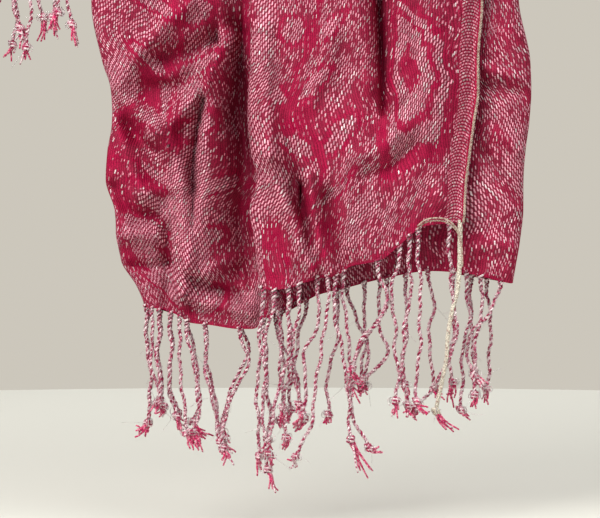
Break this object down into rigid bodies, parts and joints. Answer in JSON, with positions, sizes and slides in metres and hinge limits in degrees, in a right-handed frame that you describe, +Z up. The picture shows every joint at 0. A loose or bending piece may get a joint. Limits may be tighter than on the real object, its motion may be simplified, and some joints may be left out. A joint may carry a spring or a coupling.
{
  "type": "scarf",
  "caption": "Long woven scarf with knotted fringes, gathered round the back of the neck and hanging open in front in two folded tails, one lower than the other.",
  "frame": {"origin": "middle of the neck that the scarf hangs on, at the height of the nape", "axes": "+Z up, the wearer faces -Y, and the long end hangs on the +X side"},
  "size_m": [0.4374, 0.2578, 0.9558],
  "materials": {
    "cloth": "jacquard weave of magenta and pale pink threads with dashes of silver thread",
    "fringe": "twisted two-ply cords of magenta, pale pink and silver threads"
  },
  "bodies": {
    "root": {"long_end": "cloth", "neck_stretch": "cloth", "short_end": "cloth", "fringe_long_end": "fringe", "fringe_short_end": "fringe"}
  },
  "joints": []
}
